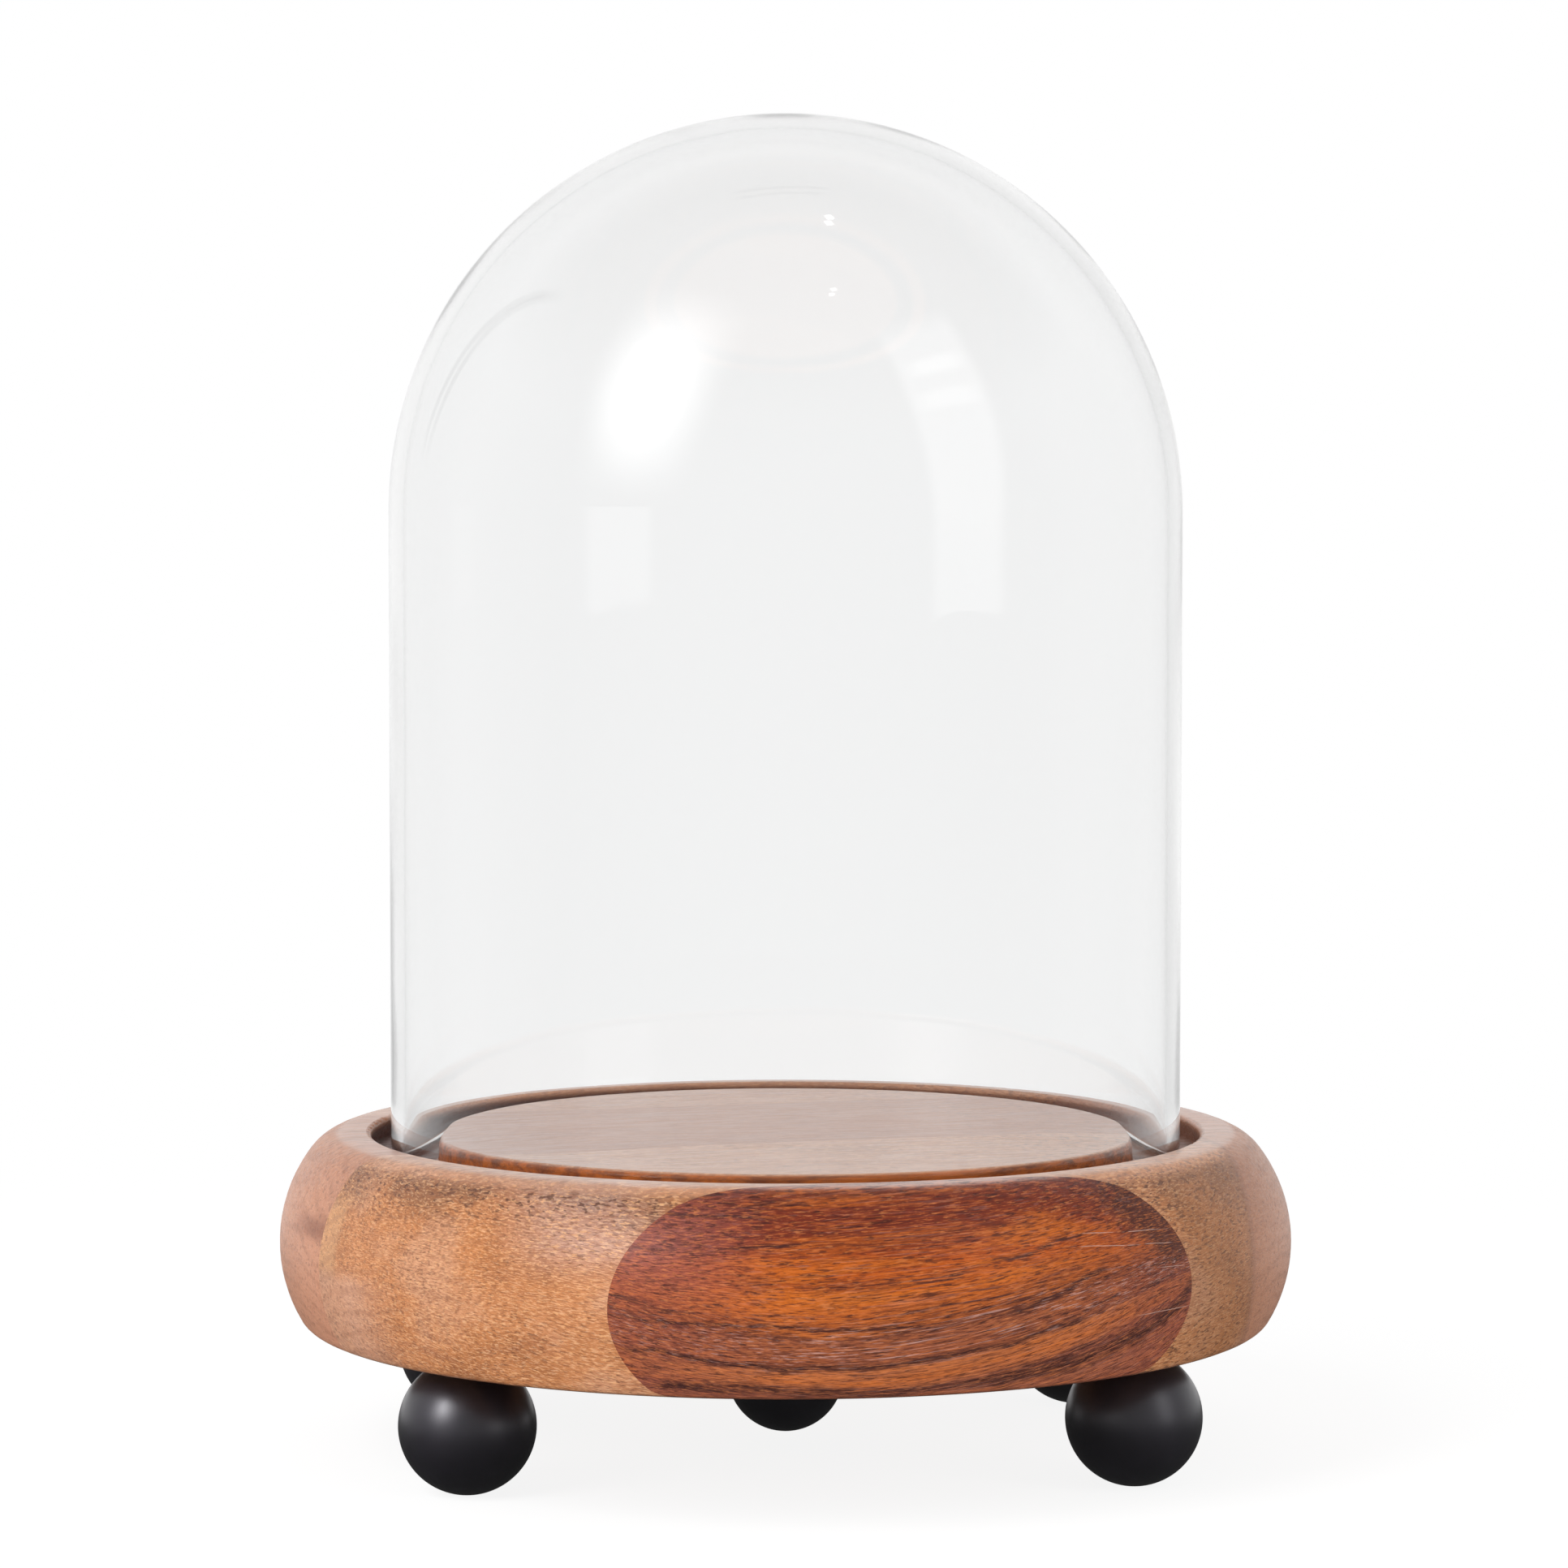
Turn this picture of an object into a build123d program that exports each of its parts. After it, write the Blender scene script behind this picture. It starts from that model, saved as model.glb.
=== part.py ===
from build123d import *
from math import asin, cos, degrees, radians, sin, sqrt
import os

# A glass display dome that lifts off a turned wooden base on five black ball feet.
# Millimetres, +Z up. The origin is on the ground under the middle of the base, and
# the four corner feet stand in a rectangle along X and Y, its long side facing -Y.

# Glass dome: a straight wall with a half-ball crown and a melted, fully round lip
dome_diameter = 178.0
dome_straight_height = 143.3
glass_wall = 3.2

# Groove that the lip stands in
groove_depth = 4.4
groove_gap_outside = 4.4
groove_gap_inside = 7.9
edge_rounding = 1.2

# Turned base: a bulging side, rounded over at the top and less at the bottom.
# The rim's width runs from the groove to the side, as if the top edge were sharp.
base_thickness = 43.4
shoulder_height = 24.4
side_radius = 33.0
rim_width = 9.8
top_round_radius = 10.9
bottom_round_radius = 4.9

# The blank: parallel boards glued edge to edge, with the grain at an angle to the feet.
# Turning leaves a sliver of the front board, this wide, outside the first glue line.
board_width = 70.0
front_board_width = 19.5
grain_angle = 11.2
board_names = ["front_board", "middle_front_board", "middle_rear_board", "rear_board"]

# Ball feet: a bored flat seats on the base, and a small flat rubs on the ground.
# The inset runs from the underside's sharp edge to the middle of a foot.
foot_diameter = 30.0
centre_foot_diameter = 26.5
foot_seat_diameter = 9.0
foot_ground_flat_diameter = 5.0
foot_inset = 18.9
foot_angle = 35.5

# Dowels glued into the base and the feet
dowel_diameter = 6.0
dowel_length = 24.0
dowel_chamfer = 0.8
glue_gap = 0.05
hole_end_gap = 0.5


def height_to_flat(ball_diameter, flat_diameter):
    """Distance from a ball's centre to a flat of the given diameter."""
    return sqrt(ball_diameter**2 - flat_diameter**2) / 2


# Radii worked out from the sizes above
dome_radius = dome_diameter / 2
bore_radius = dome_radius - glass_wall
groove_outer_radius = dome_radius + groove_gap_outside
groove_inner_radius = bore_radius - groove_gap_inside
rim_edge_radius = groove_outer_radius + rim_width
dowel_hole_radius = dowel_diameter / 2 + glue_gap
dowel_hole_depth = dowel_length / 2 + hole_end_gap

# Heights above the ground
foot_centre_height = height_to_flat(foot_diameter, foot_ground_flat_diameter)
base_bottom = foot_centre_height + height_to_flat(foot_diameter, foot_seat_diameter)
base_top = base_bottom + base_thickness
widest_height = base_top - shoulder_height
groove_floor = base_top - groove_depth
lip_centre_height = groove_floor + glass_wall / 2
crown_centre_height = groove_floor + dome_straight_height

# The bulging side is an arc about a point at the base's widest height
angle_to_rim = degrees(asin(shoulder_height / side_radius))
angle_to_underside = degrees(asin((widest_height - base_bottom) / side_radius))
side_centre_radius = rim_edge_radius - side_radius * cos(radians(angle_to_rim))
underside_edge_radius = side_centre_radius + side_radius * cos(radians(angle_to_underside))
base_radius = side_centre_radius + side_radius
foot_circle_radius = underside_edge_radius - foot_inset

# Where the feet stand: four on a circle, at equal angles either side of X, and one amid them
foot_centres = {"centre_foot": (0.0, 0.0)}
for name, angle in {
    "rear_right_foot": foot_angle,
    "rear_left_foot": 180 - foot_angle,
    "front_left_foot": 180 + foot_angle,
    "front_right_foot": -foot_angle,
}.items():
    foot_centres[name] = (
        foot_circle_radius * cos(radians(angle)),
        foot_circle_radius * sin(radians(angle)),
    )


def finish(part, name):
    """Label a finished piece and write it as its own STEP file."""
    part.label = name
    export_step(part, f"parts/{name}.step")


os.makedirs("parts", exist_ok=True)

# The dome: wall, crown and round lip in one profile, turned about Z
with BuildPart() as dome:
    with BuildSketch(Plane.XZ):
        with BuildLine():
            Line((dome_radius, lip_centre_height), (dome_radius, crown_centre_height))
            CenterArc((0, crown_centre_height), dome_radius, 0, 90)
            Line((0, crown_centre_height + dome_radius), (0, crown_centre_height + bore_radius))
            CenterArc((0, crown_centre_height), bore_radius, 0, 90)
            Line((bore_radius, crown_centre_height), (bore_radius, lip_centre_height))
            CenterArc((dome_radius - glass_wall / 2, lip_centre_height), glass_wall / 2, 180, 180)
        make_face()
    revolve(axis=Axis.Z)
finish(dome.part, "glass_dome")

# The base as it leaves the lathe, with the groove cut and the dowel holes bored
to_front = Vector(sin(radians(grain_angle)), -cos(radians(grain_angle)))
across_profile = to_front.cross(Vector(0, 0, 1))
with BuildPart() as turned_base:
    with BuildSketch(Plane((0, 0, 0), x_dir=to_front, z_dir=across_profile)) as profile:
        with BuildLine():
            side = CenterArc(
                (side_centre_radius, widest_height),
                side_radius,
                -angle_to_underside,
                angle_to_underside + angle_to_rim,
            )
            Polyline(
                side @ 1,
                (groove_outer_radius, base_top),
                (groove_outer_radius, groove_floor),
                (groove_inner_radius, groove_floor),
                (groove_inner_radius, base_top),
                (0, base_top),
                (0, base_bottom),
                side @ 0,
            )
        make_face()
        top_corners = profile.vertices().group_by(Axis.Y)[-1].sort_by(Axis.X)
        fillet(top_corners[1:3], edge_rounding)
        fillet(profile.vertices().group_by(Axis.Y)[-1].sort_by(Axis.X)[-1], top_round_radius)
        fillet(profile.vertices().group_by(Axis.Y)[0].sort_by(Axis.X)[-1], bottom_round_radius)
    revolve(axis=Axis.Z)
    with Locations(*[(x, y, base_bottom) for x, y in foot_centres.values()]):
        Cylinder(
            dowel_hole_radius,
            dowel_hole_depth,
            align=(Align.CENTER, Align.CENTER, Align.MIN),
            mode=Mode.SUBTRACT,
        )

# The glue lines cut the turned base into its boards, from the front to the rear
glue_lines = [
    Plane(to_front * (base_radius - front_board_width - index * board_width), z_dir=to_front)
    for index in range(len(board_names) - 1)
]
for index, name in enumerate(board_names):
    with BuildPart() as board:
        add(turned_base.part)
        if index > 0:
            split(bisect_by=glue_lines[index - 1], keep=Keep.BOTTOM)
        if index < len(glue_lines):
            split(bisect_by=glue_lines[index], keep=Keep.TOP)
    finish(board.part, name)

for name, (x, y) in foot_centres.items():
    # A ball with a flat on top, hard against the base, and a dowel hole in the flat
    is_centre_foot = name == "centre_foot"
    diameter = centre_foot_diameter if is_centre_foot else foot_diameter
    ball_height = base_bottom - height_to_flat(diameter, foot_seat_diameter)
    ground_flat = ball_height - height_to_flat(diameter, foot_ground_flat_diameter)
    with BuildPart() as foot:
        with Locations((x, y, ball_height)):
            Sphere(diameter / 2)
        split(bisect_by=Plane.XY.offset(base_bottom), keep=Keep.BOTTOM)
        split(bisect_by=Plane.XY.offset(ground_flat), keep=Keep.TOP)
        with Locations((x, y, base_bottom)):
            Hole(dowel_hole_radius, dowel_hole_depth)
    finish(foot.part, name)

    # Its dowel: half in the base and half in the foot, with chamfered ends
    with BuildPart() as dowel:
        with Locations((x, y, base_bottom)):
            Cylinder(dowel_diameter / 2, dowel_length)
        chamfer(dowel.edges().filter_by(GeomType.CIRCLE), dowel_chamfer)
    finish(dowel.part, name.replace("foot", "dowel"))
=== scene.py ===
"""A clear glass bell jar on a round plinth of glued boards with black ball feet."""

import math

import bmesh
import bpy
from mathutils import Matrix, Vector


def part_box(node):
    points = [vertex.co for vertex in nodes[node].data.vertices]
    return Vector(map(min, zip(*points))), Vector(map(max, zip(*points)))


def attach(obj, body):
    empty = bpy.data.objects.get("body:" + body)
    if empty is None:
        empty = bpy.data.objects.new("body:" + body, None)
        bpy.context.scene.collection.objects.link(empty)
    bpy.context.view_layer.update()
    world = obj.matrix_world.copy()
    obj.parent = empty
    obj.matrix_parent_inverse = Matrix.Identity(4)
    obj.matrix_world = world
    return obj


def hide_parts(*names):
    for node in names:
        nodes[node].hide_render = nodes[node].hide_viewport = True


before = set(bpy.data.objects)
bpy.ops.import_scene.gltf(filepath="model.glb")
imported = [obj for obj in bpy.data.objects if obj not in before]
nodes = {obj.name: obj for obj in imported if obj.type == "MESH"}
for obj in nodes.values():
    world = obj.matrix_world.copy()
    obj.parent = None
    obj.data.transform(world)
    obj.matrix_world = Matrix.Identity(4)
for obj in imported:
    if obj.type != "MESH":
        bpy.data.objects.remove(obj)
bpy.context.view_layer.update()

# Metres, as in the frame. The front is -Y.
MM = 0.001
base_low, base_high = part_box("middle_front_board")
BASE_BOTTOM, BASE_TOP = base_low.z, base_high.z
dome_low, dome_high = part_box("glass_dome")
DOME_RADIUS = dome_high.x
GLASS_WALL = 3.2 * MM

# Directions of the two big lights: azimuth (0 is in front, right is positive) and elevation
KEY_AT = (-49, 34)
WINDOW_AT = (50, 24)

# The groove that the dome stands in, and the round platform inside it
GROOVE_RADIUS = DOME_RADIUS + 4.4 * MM
PLATFORM_RADIUS = DOME_RADIUS - GLASS_WALL - 7.9 * MM

# The boards' grain is turned this far from X
GRAIN_ANGLE = math.radians(11.2)


# ---------------------------------------------------------------- node helpers


def srgb(colour):
    """Linear colour from 0-255 display values."""

    def one(v):
        v = v / 255
        return v / 12.92 if v <= 0.04045 else ((v + 0.055) / 1.055) ** 2.4

    return tuple(one(v) for v in colour)


class Graph:
    """A short way to write the nodes of a material or a world."""

    def __init__(self, owner, output="OutputMaterial"):
        owner.use_nodes = True
        self.owner = owner
        self.tree = owner.node_tree
        self.tree.nodes.clear()
        self.out = self.node(output)

    def node(self, kind, **settings):
        n = self.tree.nodes.new("ShaderNode" + kind)
        for key, value in settings.items():
            setattr(n, key, value)
        return n

    def feed(self, socket, value):
        """Links a socket, or sets a plain value."""
        if isinstance(value, bpy.types.NodeSocket):
            self.tree.links.new(value, socket)
        else:
            socket.default_value = value

    def shader(self, kind, inputs):
        """A shader with its inputs linked or set, by name."""
        n = self.node(kind)
        for name, value in inputs.items():
            self.feed(n.inputs[name], value)
        return n.outputs[0]

    def surface(self, shader):
        """Ends the graph, and returns its material or world."""
        self.feed(self.out.inputs["Surface"], shader)
        return self.owner

    def place(self):
        """Object coordinates in metres, which are the frame's."""
        return self.node("TexCoord").outputs["Object"]

    def split(self, vector):
        n = self.node("SeparateXYZ")
        self.feed(n.inputs[0], vector)
        return n.outputs

    def join(self, *parts):
        n = self.node("CombineXYZ")
        for socket, value in zip(n.inputs, parts):
            self.feed(socket, value)
        return n.outputs[0]

    def vector(self, kind, a, b=None):
        n = self.node("VectorMath", operation=kind)
        self.feed(n.inputs[0], a)
        if b is not None:
            self.feed(n.inputs[1], b)
        return n.outputs["Value" if kind in ("LENGTH", "DOT_PRODUCT") else "Vector"]

    def math(self, kind, a, b=None, clamp=False):
        n = self.node("Math", operation=kind, use_clamp=clamp)
        self.feed(n.inputs[0], a)
        if b is not None:
            self.feed(n.inputs[1], b)
        return n.outputs[0]

    def times(self, result, *factors):
        for factor in factors:
            result = self.math("MULTIPLY", result, factor)
        return result

    def either(self, result, *masks):
        for mask in masks:
            result = self.math("MAXIMUM", result, mask)
        return result

    def away(self, value, centre):
        return self.math("ABSOLUTE", self.math("SUBTRACT", value, centre))

    def span(self, value, low, high, to_low=0.0, to_high=1.0, smooth=True):
        """Rises from to_low to to_high as the value goes from low to high, which may be lower."""
        n = self.node("MapRange", clamp=True)
        n.interpolation_type = "SMOOTHSTEP" if smooth else "LINEAR"
        self.feed(n.inputs["Value"], value)
        n.inputs["From Min"].default_value = low
        n.inputs["From Max"].default_value = high
        n.inputs["To Min"].default_value = to_low
        n.inputs["To Max"].default_value = to_high
        return n.outputs["Result"]

    def near(self, value, centre, outer, inner):
        """1 within inner of the centre, 0 beyond outer."""
        return self.span(self.away(value, centre), outer, inner)

    def mapped(self, vector, scale, angle=0.0, offset=(0, 0, 0)):
        """Turns about Z, then scales each axis and moves."""
        turn = self.node("Mapping")
        turn.inputs["Rotation"].default_value = (0, 0, angle)
        self.feed(turn.inputs["Vector"], vector)
        size = self.node("Mapping")
        size.inputs["Scale"].default_value = scale
        size.inputs["Location"].default_value = offset
        self.feed(size.inputs["Vector"], turn.outputs[0])
        return size.outputs[0]

    def noise(self, vector, scale, detail=3.0, rough=0.55, warp=0.0, offset=(0, 0, 0)):
        """Noise around 0.5, with this many features to the metre along each axis."""
        n = self.node("TexNoise")
        self.feed(n.inputs["Vector"], self.mapped(vector, scale, 0.0, offset))
        n.inputs["Scale"].default_value = 1.0
        n.inputs["Detail"].default_value = detail
        n.inputs["Roughness"].default_value = rough
        n.inputs["Distortion"].default_value = warp
        return n.outputs[0]

    def stops(self, value, stops, kind="LINEAR"):
        n = self.node("ValToRGB")
        self.feed(n.inputs[0], value)
        n.color_ramp.interpolation = kind
        elements = n.color_ramp.elements
        while len(elements) < len(stops):
            elements.new(0.5)
        for element, (at, colour) in zip(elements, stops):
            element.position = at
            element.color = (*colour, 1)
        return n.outputs[0]

    def ramp(self, value, stops):
        """Colours in display values at places from 0 to 1."""
        return self.stops(value, [(at, srgb(colour)) for at, colour in stops])

    def curve(self, value, points, kind="LINEAR"):
        """A level from 0 to 1 that follows (place, level) points."""
        first, last = points[0][0], points[-1][0]
        stops = [((at - first) / (last - first), (level,) * 3) for at, level in points]
        return self.stops(self.span(value, first, last, smooth=False), stops, kind)

    def mix(self, amount, a, b):
        n = self.node("Mix", data_type="RGBA", blend_type="MIX")
        self.feed(n.inputs[0], amount)
        for socket, colour in ((n.inputs[6], a), (n.inputs[7], b)):
            linked = isinstance(colour, bpy.types.NodeSocket)
            self.feed(socket, colour if linked else (*srgb(colour), 1))
        return n.outputs[2]

    def tint(self, base, colour, *masks):
        """Lays a colour (0-255) over the base by the product of the masks."""
        return self.mix(self.times(*masks), base, colour)

    def blend(self, amount, first, second):
        """The first shader where the amount is 0, the second where it is 1."""
        n = self.node("MixShader")
        for socket, value in zip(n.inputs, (amount, first, second)):
            self.feed(socket, value)
        return n.outputs[0]

    def bump(self, height, strength, distance):
        n = self.node("Bump")
        n.inputs["Strength"].default_value = strength
        n.inputs["Distance"].default_value = distance
        self.feed(n.inputs["Height"], height)
        return n.outputs[0]


def new_graph(name):
    return Graph(bpy.data.materials.new(name))


def show(node, material):
    """Gives a CAD node its finished material."""
    mesh = nodes[node].data
    mesh.materials.clear()
    mesh.materials.append(material)


def piece(name, mesh, material, body, stands_for):
    """A new piece that stands for CAD nodes."""
    obj = bpy.data.objects.new(name, mesh)
    bpy.context.scene.collection.objects.link(obj)
    mesh.materials.append(material)
    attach(obj, body)
    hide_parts(*stands_for)
    return obj


# ---------------------------------------------------------------- wood

# Heights between which the growth layers bend over, and the m of the front board's face
BEND_LOW, BEND_HIGH = 43 * MM, 62 * MM
FRONT_FACE = -112 * MM


class Board:
    """Board coordinates in metres: u along the grain, m towards the back, z up, and the layers.

    The growth layers slope towards the back by dip_back and along the grain by dip_along, each
    given low and high on the side, and wander by the wave.
    """

    def __init__(self, g, seed, dip_back, dip_along, wave):
        self.g, self.seed = g, seed
        self.place = g.mapped(g.place(), (1, 1, 1), -GRAIN_ANGLE)
        self.u, self.m, self.z = g.split(self.place)
        slow = g.noise(self.place, (11, 34, 34), 2, 0.5, offset=(seed, 0, 0))
        back = g.times(g.math("SUBTRACT", self.m, FRONT_FACE), self.bend(dip_back))
        along = g.times(self.u, self.bend(dip_along))
        layer = g.math("SUBTRACT", g.math("SUBTRACT", self.z, back), along)
        self.layer = g.math("ADD", layer, g.times(g.math("SUBTRACT", slow, 0.5), wave))
        self.grain = g.join(self.u, self.layer, self.m)

    def bend(self, slopes):
        """Goes from the low slope to the high one."""
        return self.g.span(self.z, BEND_LOW, BEND_HIGH, *slopes)

    def streaks(self, along, across, detail=3, rough=0.55, warp=0.0, shift=0.0, deep=None):
        """Noise drawn out along the grain, in features per metre."""
        size = (along, across, across * 0.35 if deep is None else deep)
        offset = (self.seed + shift, shift * 2, 0)
        return self.g.noise(self.grain, size, detail, rough, warp, offset)

    def blotch(self, size, detail=2, shift=0.0):
        """Noise that keeps to the board's own axes."""
        return self.g.noise(self.place, size, detail, 0.5, offset=(self.seed + shift, shift, 0))

    def top(self, start, end):
        """Rises between two depths below the top face, in millimetres."""
        return self.g.span(self.z, BASE_TOP - start * MM, BASE_TOP - end * MM)


def lacquered(g, board, colour, height, rough, coat, shine):
    """The finished wood under its lacquer, with painted shade in the groove and on the underside.
    """
    radius = g.vector("LENGTH", g.vector("MULTIPLY", g.place(), (1, 1, 0)))
    groove = g.times(
        board.top(0.2, 2.2),
        g.span(radius, PLATFORM_RADIUS + 0.2 * MM, PLATFORM_RADIUS + 1.6 * MM),
        g.span(radius, GROOVE_RADIUS + 1.6 * MM, GROOVE_RADIUS + 0.2 * MM),
    )
    wall = g.times(
        board.top(0.05, 0.6),
        g.span(radius, PLATFORM_RADIUS - 1.2 * MM, PLATFORM_RADIUS - 0.5 * MM),
        g.span(radius, PLATFORM_RADIUS + 1.1 * MM, PLATFORM_RADIUS + 0.2 * MM),
    )
    across = g.split(g.place())[0]
    # Painted shade in the groove, stronger on the left, whose wall faces away from the key light
    colour_with_painted_shade = g.tint(colour, (70, 24, 12), groove, g.span(across, -0.05, 0.09, 0.92, 0.7))
    mottle = g.span(board.streaks(45, 420, 4, 0.7, 0.0, 41.0, 260), 0.36, 0.66)
    colour_with_painted_shade = g.tint(colour_with_painted_shade, g.mix(mottle, (206, 104, 24), (112, 50, 18)), wall, 0.88)
    # Painted shade on the underside and the lowest millimetre of the side, which the feet mirror
    under = g.span(board.z, BASE_BOTTOM + 1.1 * MM, BASE_BOTTOM + 0.1 * MM)
    colour_with_painted_shade = g.tint(colour_with_painted_shade, (70, 40, 30), under, 0.7)

    # The lacquer is glossier on the top face, and worn off in the groove
    clean = g.math("SUBTRACT", 1.0, g.either(groove, wall))
    gloss = g.span(board.z, BASE_TOP - 0.6 * MM, BASE_TOP - 0.1 * MM, coat, 0.65)
    wood = g.shader("BsdfPrincipled", {
        "Base Color": colour_with_painted_shade,
        "Specular IOR Level": shine,
        "Roughness": rough,
        "Normal": g.bump(height, 0.35, 0.2 * MM),
        "Coat Weight": g.times(gloss, clean),
        "Coat Roughness": 0.24,
    })
    return g.surface(wood)


def scratch(g, board, start, end, width):
    """A fine broken line on the board's face between two (along, up) points, in millimetres."""
    (u0, z0), (u1, z1) = start, end
    slope = (z1 - z0) / (u1 - u0)
    line = g.math("ADD", g.times(board.u, slope), (z0 - slope * u0) * MM)
    wander = g.times(g.math("SUBTRACT", board.blotch((90, 20, 20), 2, 17.0), 0.5), 0.9 * MM)
    away = g.away(g.math("SUBTRACT", board.z, line), wander)
    return g.times(
        g.span(away, width * MM, width * 0.3 * MM),
        g.span(board.u, u0 * MM, (u0 + 6) * MM),
        g.span(board.u, u1 * MM, (u1 - 3) * MM),
        g.span(board.blotch((240, 10, 60), 2, 19.0 + z0), 0.38, 0.52),
    )


def dark_line(g, board, points, width, seed, broken):
    """A growth line on the board's face through (along, up) points, in millimetres."""
    first, last = points[0][0], points[-1][0]
    # A colour ramp holds 0 to 1, so the heights go through it in decimetres
    heights = g.curve(board.u, [(u * MM, z / 100) for u, z in points], "CARDINAL")
    wander = g.times(g.math("SUBTRACT", board.blotch((110, 60, 60), 3, seed), 0.5), 3.4 * MM)
    away = g.away(g.math("ADD", board.z, wander), g.times(heights, 0.1))
    grain = board.streaks(60, 1400, 3, 0.6, 0.0, seed + 2, 300)
    return g.times(
        g.span(away, width * MM, width * 0.1 * MM),
        g.span(board.u, (first - 1) * MM, (first + 4) * MM),
        g.span(board.u, (last + 1) * MM, (last - 3) * MM),
        g.span(grain, 0.42 - 0.2 * (1 - broken), 0.54),
    )


# Colours up through the front board's growth layers, at heights in millimetres
FRONT_LAYERS = [
    (12.5, (168, 96, 64)),
    (26.6, (168, 94, 62)),
    (28.8, (142, 76, 54)),
    (30.0, (142, 76, 52)),
    (31.0, (182, 98, 50)),
    (36.4, (192, 106, 52)),
    (37.6, (134, 70, 42)),
    (38.3, (144, 76, 44)),
    (39.6, (164, 86, 48)),
    (44.4, (148, 78, 46)),
    (45.5, (122, 62, 38)),
    (46.8, (160, 78, 24)),
    (52.0, (198, 96, 12)),
    (58.5, (178, 78, 14)),
    (62.5, (126, 48, 20)),
    (67.0, (118, 44, 24)),
    (74.0, (112, 42, 24)),
]
LAYERS_LOW, LAYERS_HIGH = 12, 75

# Its dark growth lines: (along, up) points and a width in millimetres, a seed, and how broken
DARK_LINES = [
    (
        [
            (-62, 40.6), (-48, 38.8), (-38, 37), (-22, 36.6),
            (-7.5, 37), (10, 39.2), (22, 41.2), (36, 44),
        ],
        0.9, 3.0, 0.2,
    ),
    ([(-63, 47.2), (-52, 46.6), (-40, 45.6), (-20, 44.8), (0, 44.6)], 0.7, 6.0, 0.6),
    ([(-55, 32.3), (-32, 31.9), (-7, 31.1), (22, 33.4), (34, 35.7)], 1.8, 9.0, 0.3),
    ([(14, 32.2), (28, 34.0), (40, 36.6), (51, 39.6), (60, 44.2), (66, 51.5)], 3.4, 33.0, 0.35),
    ([(16, 46.6), (24, 48.6), (32, 51.4), (42, 55)], 1.2, 12.0, 0.7),
    ([(-42, 61.5), (-28, 62.4), (-20, 62)], 0.7, 15.0, 0.8),
    ([(14, 57.6), (26, 59.6), (38, 61.6)], 0.9, 18.0, 0.8),
]

# Its scratches: two (along, up) points and a width, in millimetres
SCRATCHES = [
    ((28, 62.0), (59, 60.6), 0.11),
    ((31, 59.4), (61, 57.6), 0.11),
    ((50, 53.2), (64, 52.6), 0.09),
    ((47, 43.4), (64, 43.8), 0.1),
]


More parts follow.
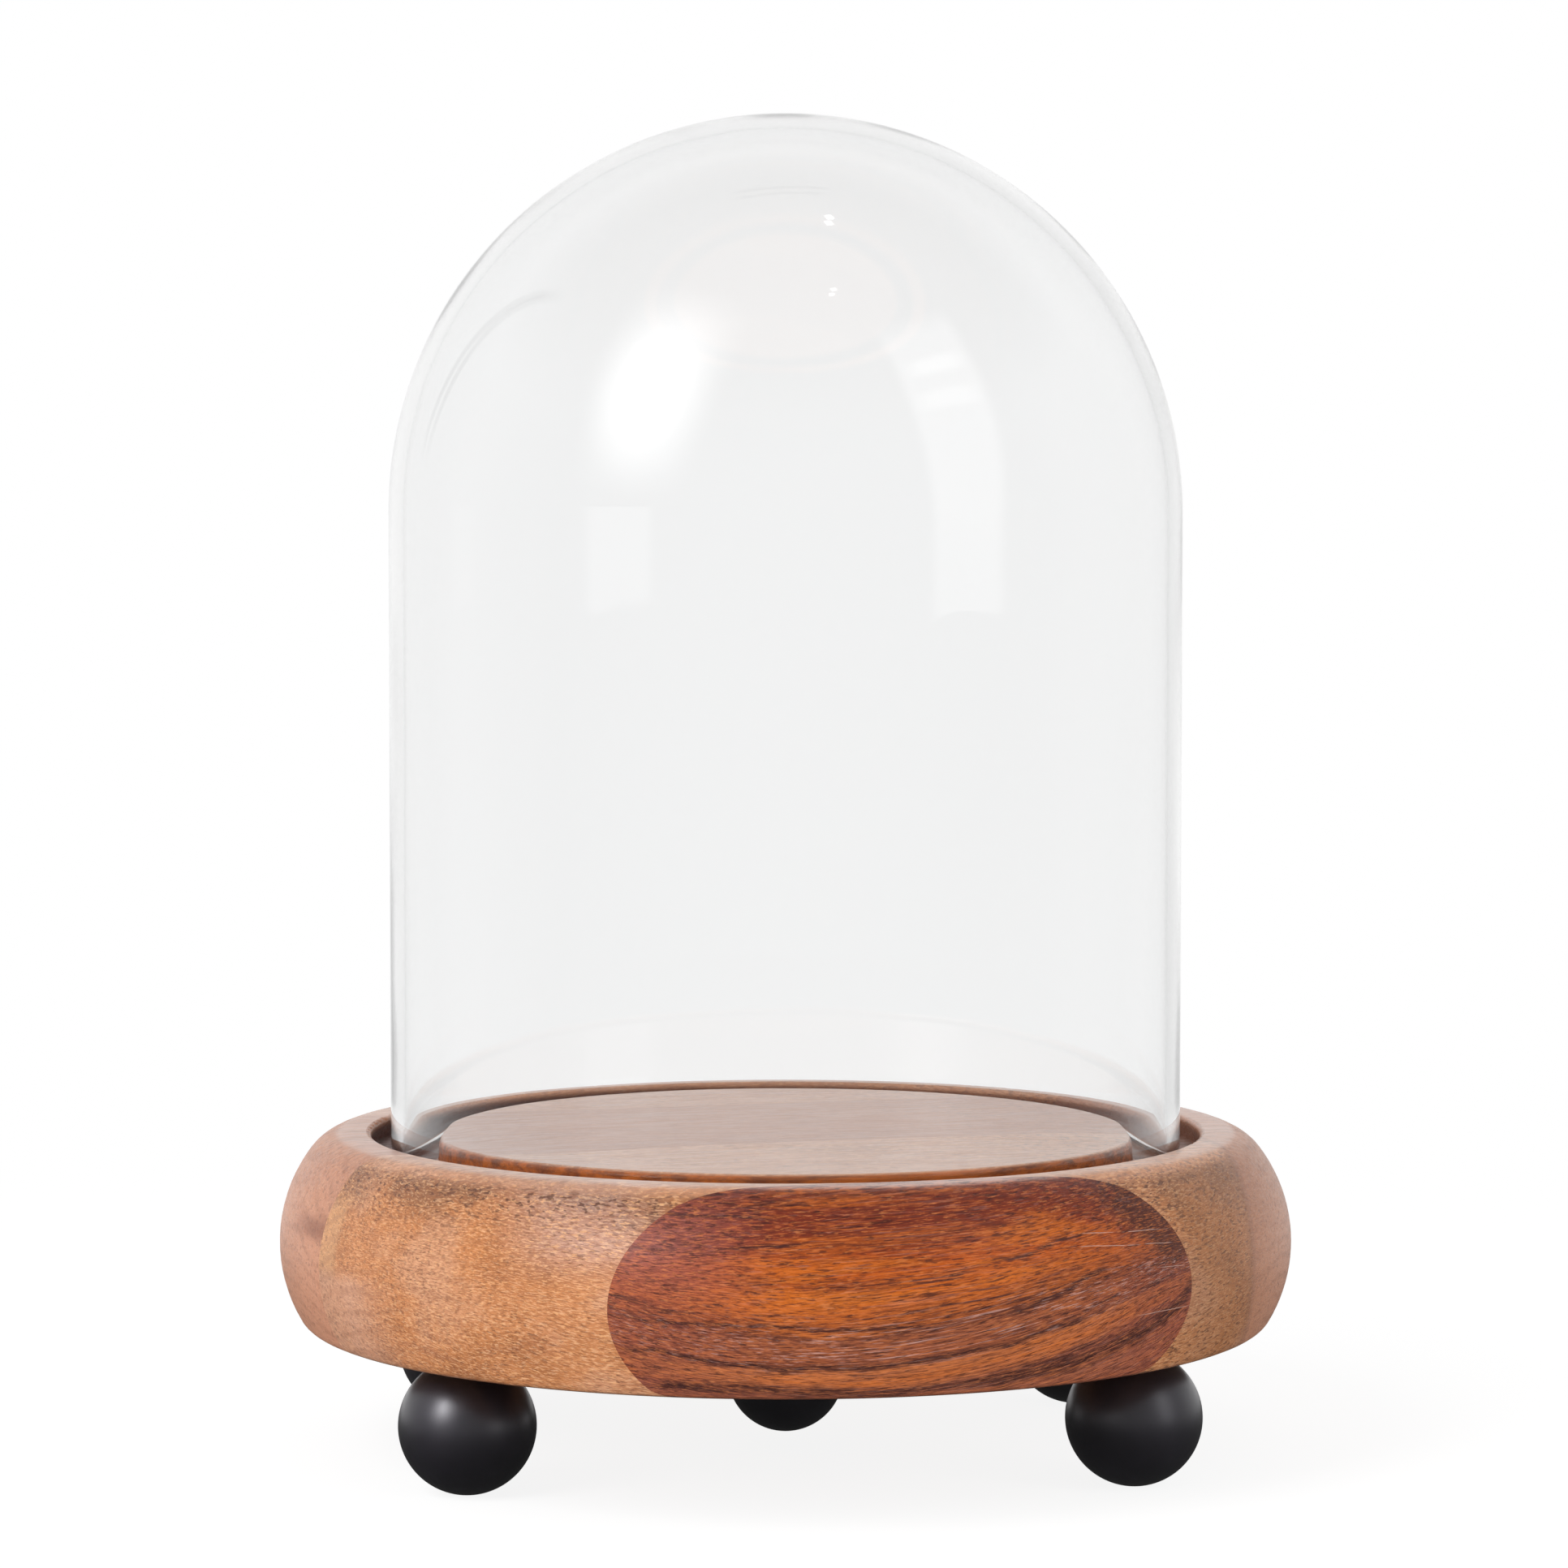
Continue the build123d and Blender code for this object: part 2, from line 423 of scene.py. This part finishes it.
def front_board_wood():
    """Red-brown heartwood: an orange glow, dark curved layers, open grain and a few scratches."""
    g = new_graph("front_board_wood")
    board = Board(g, 2.3, (0.634, 0.12), (0.127, 0.05), 2.6 * MM)
    tall = LAYERS_HIGH - LAYERS_LOW
    up = g.span(board.layer, LAYERS_LOW * MM, LAYERS_HIGH * MM, smooth=False)
    colour = g.ramp(up, [((z - LAYERS_LOW) / tall, tone) for z, tone in FRONT_LAYERS])

    # Broad streaks, a painted reflection paling the top edge and face, and duller ends
    broad = board.streaks(11, 190, 3, 0.62, 0.4)
    higher = g.span(board.z, 0.042, 0.056, 0.4, 0.7)
    colour = g.tint(colour, (92, 36, 24), g.span(broad, 0.5, 0.7), higher)
    colour = g.tint(colour, (204, 104, 24), g.span(broad, 0.47, 0.3), 0.65)
    # Painted reflection: the white room mirrored along the top edge and face
    colour = g.tint(colour, (222, 160, 132), board.top(0.5, 0.1), 0.5)
    colour = g.tint(colour, (134, 66, 56), g.span(g.away(board.u, 0.0), 0.026, 0.06), 0.55)
    upper_left = g.times(g.span(board.u, -0.028, -0.05), g.span(board.z, 0.046, 0.056))
    colour = g.tint(colour, (146, 84, 76), upper_left, 0.45)

    # Dark grain in patches, the drawn lines, and smoky blotches beside the glue line
    dark = g.span(board.streaks(20, 520, 4, 0.66, 0.6, 3.0), 0.57, 0.64)
    patch = g.span(board.blotch((22, 60, 90), 2, 4.0), 0.44, 0.62)
    colour = g.tint(colour, (56, 30, 32), dark, patch, 0.85)
    lines = g.either(*[dark_line(g, board, *line) for line in DARK_LINES])
    colour = g.tint(colour, (50, 24, 26), lines, 0.9)
    smoky = g.times(
        g.span(board.u, 0.036, 0.046),
        g.span(board.m, -0.103, -0.098),
        g.span(board.z, 0.051, 0.057),
        g.span(board.blotch((110, 60, 150), 3, 24.0), 0.34, 0.47),
    )
    colour = g.tint(colour, (62, 34, 30), smoky, 0.85)

    # Fine grain, and the glow across the middle
    fine = board.streaks(32, 1700, 4, 0.68, 0.0, 7.0)
    colour = g.tint(colour, (84, 34, 22), g.span(fine, 0.5, 0.64), 0.5)
    colour = g.tint(colour, (214, 118, 48), g.span(fine, 0.46, 0.35), 0.25)
    glow = g.times(
        g.near(board.layer, 0.0555, 0.0075, 0.001),
        g.near(board.u, -0.004, 0.046, 0.015),
        g.span(board.streaks(26, 330, 3, 0.6, 0.0, 29.0), 0.44, 0.6),
    )
    colour = g.tint(colour, (206, 110, 22), glow, 0.5)

    # Short dashes, pale streaks low down painted as highlights along the grain lines, open pores,
    # and painted glints
    dashes = board.streaks(330, 4000, 3, 0.6, 0.0, 31.0, 900)
    colour = g.tint(colour, (82, 34, 24), g.span(dashes, 0.5, 0.64), 0.62)
    colour = g.tint(colour, (214, 120, 64), g.span(dashes, 0.48, 0.36), 0.4)
    # Painted highlights: pale streaks along the grain lines, strongest low down and towards the
    # right
    low_down = g.math("ADD", g.times(g.near(board.layer, 0.0425, 0.0075, 0.002), 0.5), 0.12)
    pale = g.span(board.streaks(26, 2400, 3, 0.68, 0.0, 11.0), 0.545, 0.65)
    rightward = g.span(board.u, -0.056, -0.02, 0.5, 1.0)
    colour = g.tint(colour, (204, 160, 150), pale, low_down, rightward)
    pores = g.span(board.streaks(230, 2500, 2, 0.6, 0.0, 5.0, 700), 0.57, 0.65)
    colour = g.tint(colour, (54, 22, 20), pores, 0.7)
    # Painted glints on pore edges
    painted_glint = g.span(board.streaks(300, 2500, 2, 0.6, 0.0, 8.0, 800), 0.6, 0.7)
    colour = g.tint(colour, (226, 138, 78), painted_glint, 0.4)
    scratched = g.either(*[scratch(g, board, *mark) for mark in SCRATCHES])
    colour = g.tint(colour, (226, 190, 176), scratched, 0.55)

    rough = g.math("ADD", g.span(fine, 0.35, 0.7, 0.36, 0.52), g.times(scratched, 0.2))
    height = g.math("SUBTRACT", g.times(dashes, -0.5), g.times(pores, 0.8))
    height = g.math("SUBTRACT", height, g.times(scratched, 0.6))
    return lacquered(g, board, colour, height, rough, 0.12, 0.32)


# The growth rings' spacing, and how far under the ground the pith of every board lies
RING_SPACING = 4.2 * MM
PITH_DEPTH = 50 * MM


def end_grain(g, board, pith):
    """Growth rings and open pores, where the turned edge cuts across the grain."""
    ends = g.span(g.away(board.u, 0.0), 0.07, 0.1)
    from_pith = g.join(g.math("SUBTRACT", board.m, pith), g.math("ADD", board.z, PITH_DEPTH))
    reach = g.vector("LENGTH", from_pith)
    wander = g.times(board.blotch((20, 50, 50), 3, 23.0), 9 * MM)
    turns = g.times(g.math("ADD", reach, wander), 2 * math.pi / RING_SPACING)
    patch = g.span(board.blotch((60, 120, 120), 2, 27.0), 0.3, 0.6)
    rings = g.times(g.span(g.math("SINE", turns), 0.1, 1.0), ends, patch)
    dots = g.times(g.span(board.blotch((160, 1000, 1000), 2, 25.0), 0.58, 0.64), ends)
    return rings, dots


def pieced_end(g, board, colour, top):
    """The right end, browner on the side, and past an end joint a paler piece."""
    side = g.math("SUBTRACT", 1.0, top)
    colour = g.tint(colour, (142, 94, 60), g.span(board.u, 0.05, 0.07), side, 0.5)
    colour = g.tint(colour, (180, 124, 98), g.span(board.u, 0.0835, 0.0845), 0.5)
    joint = g.times(g.span(board.u, 0.081, 0.084), g.span(board.u, 0.0858, 0.0846))
    return g.tint(colour, (110, 72, 54), joint, 0.3)


def pale_patches(g, board, colour):
    """A pale strip and a beige patch on the left end."""
    left_end = g.span(board.u, -0.085, -0.1)
    strip = g.times(
        left_end,
        g.span(board.m, -0.0338, -0.0302),
        g.span(board.z, 0.0445, 0.051),
        g.span(board.z, 0.067, 0.06),
    )
    colour = g.tint(colour, (224, 174, 128), strip, 0.46)
    beige = g.times(left_end, g.span(board.m, -0.056, -0.036), g.span(board.z, 0.0505, 0.046))
    return g.tint(colour, (206, 164, 144), beige, 0.42)


def dark_streak(g, board, colour):
    """A dark streak on the left end, beside the second board's pale strip."""
    streak = g.times(
        g.near(board.z, 0.0564, 0.0036, 0.0006),
        g.span(board.m, 0.002, -0.02),
        g.span(board.u, -0.09, -0.1),
    )
    return g.tint(colour, (134, 78, 54), streak, 0.7)


def golden_board_wood(name, seed, pith, redness, is_second=False, is_third=False):
    """Golden wood with a fine grain, painted glints and open pores; the pith is the m of its rings.
    """
    g = new_graph(name)
    board = Board(g, seed, (0.2, 0.1), (0.03, 0.02), 5 * MM)

    # Slow changes of colour, ribbons across the grain and broad streaks along it
    colour = g.ramp(board.blotch((26, 60, 50), 3, 1.0), [
        (0.33, (168, 104, 58)),
        (0.45, (194, 124, 72)),
        (0.55, (204, 134, 84)),
        (0.67, (208, 148, 110)),
    ])
    ribbon = board.blotch((75, 9, 22), 2, 5.0)
    colour = g.tint(colour, (190, 108, 44), g.span(ribbon, 0.5, 0.68), 0.22)
    broad = board.streaks(14, 230, 3, 0.6, 0.5)
    colour = g.tint(colour, (156, 94, 62), g.span(broad, 0.54, 0.74), 0.5)

    # Brown clouds under the rim, and a painted highlight of the key light: a bluish grey patch left
    # of the front board
    high = g.times(g.span(board.z, 0.058, 0.069), board.top(0.6, 3.0))
    cloud = g.math("ADD", g.span(board.blotch((60, 60, 120), 3, 14.0), 0.42, 0.62), 0.35)
    colour = g.tint(colour, (128, 88, 64), high, cloud, 0.6)
    key_light_sheen = g.times(g.near(board.u, -0.067, 0.02, 0.004), g.span(board.z, 0.05, 0.062))
    colour = g.tint(colour, (170, 144, 138), key_light_sheen, 0.5)

    # Fine grain, short dashes, pores, open grain and painted glints
    fine = board.streaks(60, 1500, 4, 0.68, 0.0, 7.0)
    colour = g.tint(colour, (152, 88, 48), g.span(fine, 0.5, 0.64), 0.35)
    dashes = board.streaks(420, 3600, 3, 0.6, 0.0, 31.0, 900)
    colour = g.tint(colour, (140, 88, 56), g.span(dashes, 0.5, 0.64), 0.56)
    colour = g.tint(colour, (238, 190, 148), g.span(dashes, 0.48, 0.36), 0.5)
    density = g.span(board.blotch((40, 70, 70), 2, 9.0), 0.35, 0.62, 0.35, 1.0)
    pores = g.times(g.span(board.streaks(330, 2400, 2, 0.6, 0.0, 5.0, 700), 0.56, 0.65), density)
    colour = g.tint(colour, (92, 52, 36), pores, 0.6)
    open_grain = g.times(
        g.span(board.streaks(480, 1600, 1, 0.5, 0.0, 15.0, 640), 0.58, 0.65),
        g.either(g.span(board.u, 0.02, 0.05), high),
    )
    colour = g.tint(colour, (88, 52, 40), open_grain, 0.8)
    # Painted glints on pore edges
    painted_glint = g.span(board.streaks(460, 2300, 2, 0.6, 0.0, 8.0, 900), 0.56, 0.66)
    colour = g.tint(colour, (246, 186, 130), painted_glint, 0.45)

    # The top face and the ends paler: painted reflection of the white room at a grazing angle
    top = board.top(2.8, 0.2)
    colour = g.tint(colour, (228, 176, 146), top, 0.45)
    if is_second:
        colour = pieced_end(g, board, colour, top)
    colour = g.tint(colour, (176, 112, 82), redness)
    # Painted reflection on the board's side ends, where the white room mirrors at a grazing angle
    left_end_sheen = g.span(board.u, -0.09, -0.108, 0.0, 0.12 if is_second else 1.0)
    end_sheen = g.either(g.span(board.u, 0.076, 0.1), left_end_sheen)
    colour = g.tint(colour, (218, 162, 136), end_sheen, 0.45)

    # What the photograph shows on the left ends of two boards
    if is_second:
        colour = pale_patches(g, board, colour)
    if is_third:
        colour = dark_streak(g, board, colour)
    rings, dots = end_grain(g, board, pith)
    colour = g.tint(colour, (140, 88, 62), rings, 0.24)
    colour = g.tint(colour, (104, 62, 46), dots, 0.36)

    rough = g.span(fine, 0.35, 0.7, 0.36, 0.5)
    height = g.math("SUBTRACT", g.times(painted_glint, 0.5), g.times(g.either(pores, open_grain), 0.8))
    return lacquered(g, board, colour, height, rough, 0.14, 0.42)


show("front_board", front_board_wood())
golden = golden_board_wood("golden_board_wood", 5.0, -0.06, 0.0, is_second=True)
show("middle_front_board", golden)
brown = golden_board_wood("brown_board_wood", 9.0, 0.01, 0.55, is_third=True)
show("middle_rear_board", brown)
show("rear_board", golden_board_wood("rear_board_wood", 13.0, 0.08, 0.2))


# ---------------------------------------------------------------- feet and dowels


def lacquer():
    """Black lacquer with a broad soft shine."""
    g = new_graph("black_lacquer")
    here = g.place()
    blotch = g.noise(here, (60, 60, 60), 3, 0.55)
    grain = g.noise(here, (420, 420, 420), 3, 0.6)
    height = g.math("ADD", g.times(blotch, 0.8), g.times(grain, 0.2))
    black = g.shader("BsdfPrincipled", {
        "Base Color": g.ramp(blotch, [(0.3, (17, 14, 20)), (0.7, (28, 25, 33))]),
        "Roughness": g.span(g.noise(here, (140, 140, 140), 3, 0.6), 0.3, 0.7, 0.4, 0.5),
        "Normal": g.bump(height, 0.25, 0.4 * MM),
        "Specular IOR Level": 1.0,
        "Specular Tint": (0.91, 0.88, 1.0, 1),
        "Coat Weight": 1.0,
        "Coat Roughness": 0.32,
        "Coat IOR": 1.6,
    })
    return g.surface(black)


def dowel_wood():
    """Plain pale wood, its grain upright."""
    g = new_graph("pin_beech")
    grain = g.noise(g.place(), (900, 900, 60), 3, 0.6)
    wood = g.shader("BsdfPrincipled", {
        "Base Color": g.ramp(grain, [(0.3, (168, 128, 88)), (0.7, (206, 168, 124))]),
        "Roughness": g.span(grain, 0.3, 0.7, 0.5, 0.7),
        "Normal": g.bump(grain, 0.3, 0.2 * MM),
    })
    return g.surface(wood)


foot_finish, dowel_finish = lacquer(), dowel_wood()
for node in nodes:
    if node.endswith("_foot"):
        show(node, foot_finish)
    elif node.endswith("_dowel"):
        show(node, dowel_finish)


# ---------------------------------------------------------------- glass dome

# The skin keeps a hair inside the CAD dome, whose faces are coarser
OUTER_RADIUS = DOME_RADIUS - 0.01 * MM
INNER_RADIUS = DOME_RADIUS - GLASS_WALL
CROWN_Z = dome_high.z - DOME_RADIUS
LIP_Z = dome_low.z
LIP_ROUND = GLASS_WALL / 2

# How many steps the skin has around the axis, and on its crown, wall and lip
TURNS = 256
CROWN_STEPS = 72
WALL_STEPS = 14
LIP_STEPS = 16


def crown_profile(radius):
    """(radius, height) points from the wall up to the apex."""
    angles = [math.pi / 2 * i / CROWN_STEPS for i in range(CROWN_STEPS + 1)]
    return [(radius * math.cos(t), CROWN_Z + radius * math.sin(t)) for t in angles]


def wall_profile(radius):
    """Points between the crown and the lip, from the top down."""
    tall = CROWN_Z - LIP_Z - LIP_ROUND
    return [(radius, CROWN_Z - tall * i / WALL_STEPS) for i in range(1, WALL_STEPS)]


def dome_profile():
    """Points from the outside apex, down, round the lip, to the inside apex."""
    middle = (OUTER_RADIUS + INNER_RADIUS) / 2
    angles = [-math.pi * i / LIP_STEPS for i in range(LIP_STEPS + 1)]
    lip = [
        (middle + LIP_ROUND * math.cos(t), LIP_Z + LIP_ROUND + LIP_ROUND * math.sin(t))
        for t in angles
    ]
    outside = crown_profile(OUTER_RADIUS)[::-1] + wall_profile(OUTER_RADIUS)
    inside = wall_profile(INNER_RADIUS)[::-1] + crown_profile(INNER_RADIUS)
    return outside + lip + inside


def dome_mesh():
    """The blown glass, a closed skin turned about the axis."""
    bm = bmesh.new()
    angles = [2 * math.pi * k / TURNS for k in range(TURNS)]
    rows = []
    for radius, z in dome_profile():
        ring = [(radius * math.cos(t), radius * math.sin(t), z) for t in angles]
        rows.append([bm.verts.new(point) for point in (ring if radius > 1e-6 else [(0, 0, z)])])
    for above, below in zip(rows, rows[1:]):
        for k in range(TURNS):
            n = (k + 1) % TURNS
            if len(above) == 1:
                bm.faces.new((above[0], below[k], below[n]))
            elif len(below) == 1:
                bm.faces.new((above[k], below[0], above[n]))
            else:
                bm.faces.new((above[k], below[k], below[n], above[n]))
    bmesh.ops.recalc_face_normals(bm, faces=bm.faces)
    mesh = bpy.data.meshes.new("glass_bell")
    bm.to_mesh(mesh)
    bm.free()
    for face in mesh.polygons:
        face.use_smooth = True
    return mesh


def clear_glass():
    """Clear glass; lamps and bounced light pass it straight, so that they reach the wood inside."""
    g = new_graph("clear_blown_glass")
    here = g.place()
    ream = g.noise(here, (14, 14, 9), 2, 0.5)
    fine = g.noise(here, (90, 90, 90), 3, 0.5)
    bent = g.shader("BsdfPrincipled", {
        "Base Color": (0.995, 0.997, 0.997, 1),
        "Transmission Weight": 1.0,
        "IOR": 1.5,
        "Roughness": g.span(fine, 0.35, 0.65, 0.0, 0.012),
        "Normal": g.bump(ream, 0.12, 2 * MM),
    })
    straight = g.shader("BsdfTransparent", {"Color": (0.94, 0.94, 0.94, 1)})
    path = g.node("LightPath").outputs
    passing = g.either(path["Is Shadow Ray"], path["Is Diffuse Ray"])
    return g.surface(g.blend(passing, bent, straight))


piece("glass_bell", dome_mesh(), clear_glass(), "dome", ("glass_dome",))


# ---------------------------------------------------------------- floor

WHITE = 1.0
FLOOR_SIZE = 7.0


def room_level(g, toward_back):
    """How bright the room looks in a mirror: dim in front, white behind."""
    return g.curve(toward_back, [
        (-0.3, 0.27),
        (0.05, 0.42),
        (0.4, 0.64),
        (0.78, 0.8),
        (0.88, 0.92),
        (0.93, 0.98),
        (1.0, 1.0),
    ])


def seen_through(g, path):
    """1 for rays that have only been bent by glass, never mirrored."""
    straight = g.math("LESS_THAN", path["Glossy Depth"], 0.5)
    return g.times(path["Is Transmission Ray"], straight)


def mirrored_or_bent(g, path):
    return g.math("ADD", path["Is Glossy Ray"], path["Is Transmission Ray"], True)


def floor_material():
    """White floor that keeps a light shadow; glass shows it plain white, mirrors show it dim, with
    a painted shadow near the object.
    """
    g = new_graph("white_sweep")
    path = g.node("LightPath").outputs
    place = g.place()
    reach = g.vector("LENGTH", place)
    far = g.span(reach, 0.2, 0.55)
    toward_back = g.split(g.vector("NORMALIZE", place))[1]

    def glow(level):
        return g.shader("Emission", {"Strength": level})

    def lit(grey, level):
        n = g.node("AddShader")
        g.feed(n.inputs[0], g.shader("BsdfDiffuse", {"Color": (grey, grey, grey, 1)}))
        g.feed(n.inputs[1], glow(level))
        return n.outputs[0]

    bounced = lit(0.8, g.times(path["Is Diffuse Ray"], 0.42))
    # Painted shadow: in mirrors the floor glows dimmer the nearer it lies to the object
    painted_shadow_in_mirrors = glow(g.span(reach, 0.06, 0.4, 0.03, 0.3))
    mirrored = g.blend(far, painted_shadow_in_mirrors, glow(room_level(g, toward_back)))
    indirect = g.blend(mirrored_or_bent(g, path), bounced, mirrored)
    indirect = g.blend(seen_through(g, path), indirect, glow(WHITE))
    camera_view = g.blend(far, lit(0.19, 0.88), glow(WHITE))
    return g.surface(g.blend(path["Is Camera Ray"], indirect, camera_view))


def floor_mesh(radius):
    bm = bmesh.new()
    bmesh.ops.create_circle(bm, cap_ends=True, segments=128, radius=radius)
    mesh = bpy.data.meshes.new("floor")
    bm.to_mesh(mesh)
    bm.free()
    return mesh


floor = bpy.data.objects.new("floor", floor_mesh(FLOOR_SIZE))
bpy.context.scene.collection.objects.link(floor)
floor.data.materials.append(floor_material())


# ---------------------------------------------------------------- world and lamps

# Light from all around, on surfaces that neither mirror nor bend it
AMBIENT = 0.42

# What the glass mirrors: azimuth, elevation, half width, half height, softness and level. They
# are the key light, its core, the window, its two slats and two small lamps.
PANELS = [
    (*KEY_AT, 0.2, 0.32, 0.95, 3.0),
    (*KEY_AT, 0.1, 0.13, 0.8, 11.0),
    (*WINDOW_AT, 0.21, 0.5, 0.16, 0.66),
    (WINDOW_AT[0], 39, 0.13, 0.035, 0.5, 0.7),
    (WINDOW_AT[0], 30, 0.15, 0.04, 0.5, 0.5),
    (113, 80.5, 0.014, 0.012, 0.4, 12.0),
    (24, 65, 0.012, 0.008, 0.4, 7.0),
]


def direction(azimuth, elevation):
    """Unit vector: azimuth 0 is in front, to the right is positive."""
    a, e = math.radians(azimuth), math.radians(elevation)
    return Vector((math.sin(a) * math.cos(e), -math.cos(a) * math.cos(e), math.sin(e)))


def glow_panel(g, ray, azimuth, elevation, wide, tall, soft, level):
    """A bright soft-edged panel far away. Its half sizes are tangents."""
    ahead = direction(azimuth, elevation)
    side = ahead.cross(Vector((0, 0, 1))).normalized()
    up = side.cross(ahead)
    depth = g.math("MAXIMUM", g.vector("DOT_PRODUCT", ray, ahead), 0.05)

    def within(axis, size):
        off = g.math("ABSOLUTE", g.math("DIVIDE", g.vector("DOT_PRODUCT", ray, axis), depth))
        return g.span(off, size * (1 + soft), size * (1 - soft))

    return g.times(within(side, wide), within(up, tall), level)


def booms(g, across, toward_back, upward):
    """Two dark bars that the glass mirrors, at the left and above."""
    boom = g.times(
        g.near(across, -0.69, 0.02, 0.006),
        g.span(upward, 0.05, 0.3),
        g.span(upward, 0.7, 0.62),
        g.span(toward_back, 0.1, 0.3),
    )
    rail = g.times(
        g.near(toward_back, 0.28, 0.016, 0.005),
        g.near(across, 0.0, 0.17, 0.1),
        g.span(upward, 0.5, 0.6),
    )
    return g.either(boom, rail)


def studio():
    """White to the camera and through glass; a dim room with lit panels in mirrors."""
    g = Graph(bpy.data.worlds.new("studio"), "OutputWorld")
    g.owner.cycles.sampling_method = "NONE"
    path = g.node("LightPath").outputs
    ray = g.node("TexCoord").outputs["Generated"]
    across, toward_back, upward = g.split(ray)
    darkened = g.math("SUBTRACT", 1.0, g.times(booms(g, across, toward_back, upward), 0.9))
    room = g.times(room_level(g, toward_back), darkened)
    for panel in PANELS:
        room = g.math("ADD", room, glow_panel(g, ray, *panel))
    bounced = mirrored_or_bent(g, path)
    ambient = g.times(g.math("SUBTRACT", 1.0, bounced), AMBIENT)
    seen = g.math("ADD", g.times(bounced, room), ambient)
    white = g.math("ADD", path["Is Camera Ray"], seen_through(g, path), True)
    strength = g.math("ADD", g.times(seen, g.math("SUBTRACT", WHITE, white)), white)
    return g.surface(g.shader("Background", {"Color": (1, 1, 1, 1), "Strength": strength}))


bpy.context.scene.world = studio()


LAMP_TARGET = Vector((0, 0, 0.15))


def softbox(name, toward, away, wide, tall, radiance):
    """A rectangular lamp aimed at the object, which mirrors and glass don't show."""
    data = bpy.data.lights.new(name, "AREA")
    data.shape = "RECTANGLE"
    data.size, data.size_y = wide, tall
    data.energy = radiance * math.pi * wide * tall
    lamp = bpy.data.objects.new(name, data)
    bpy.context.scene.collection.objects.link(lamp)
    aim = -away * direction(*toward)
    lamp.location = LAMP_TARGET - aim
    lamp.rotation_euler = aim.to_track_quat("-Z", "Y").to_euler()
    lamp.visible_glossy = False
    lamp.visible_transmission = False


softbox("key_softbox", KEY_AT, 1.6, 0.75, 1.15, 6.2)
softbox("window", WINDOW_AT, 1.8, 0.6, 1.4, 2.6)


# ---------------------------------------------------------------- camera

CAMERA_AZIMUTH = math.radians(-4)
CAMERA_TURN = math.radians(0.016)
CAMERA_DISTANCE = 1.1865
CAMERA_HEIGHT = BASE_TOP + 147.9 * MM
CAMERA_DROP = math.radians(3.382)

camera = bpy.data.objects.new("camera", bpy.data.cameras.new("camera"))
bpy.context.scene.collection.objects.link(camera)
camera.location = (
    CAMERA_DISTANCE * math.sin(CAMERA_AZIMUTH),
    -CAMERA_DISTANCE * math.cos(CAMERA_AZIMUTH),
    CAMERA_HEIGHT,
)
camera.rotation_euler = (math.pi / 2 - CAMERA_DROP, 0, CAMERA_AZIMUTH + CAMERA_TURN)
camera.data.sensor_width = 36
camera.data.lens = 121.12
camera.data.clip_start = 0.01
camera.data.clip_end = 100
bpy.context.scene.camera = camera
bpy.context.scene.view_settings.view_transform = "Standard"
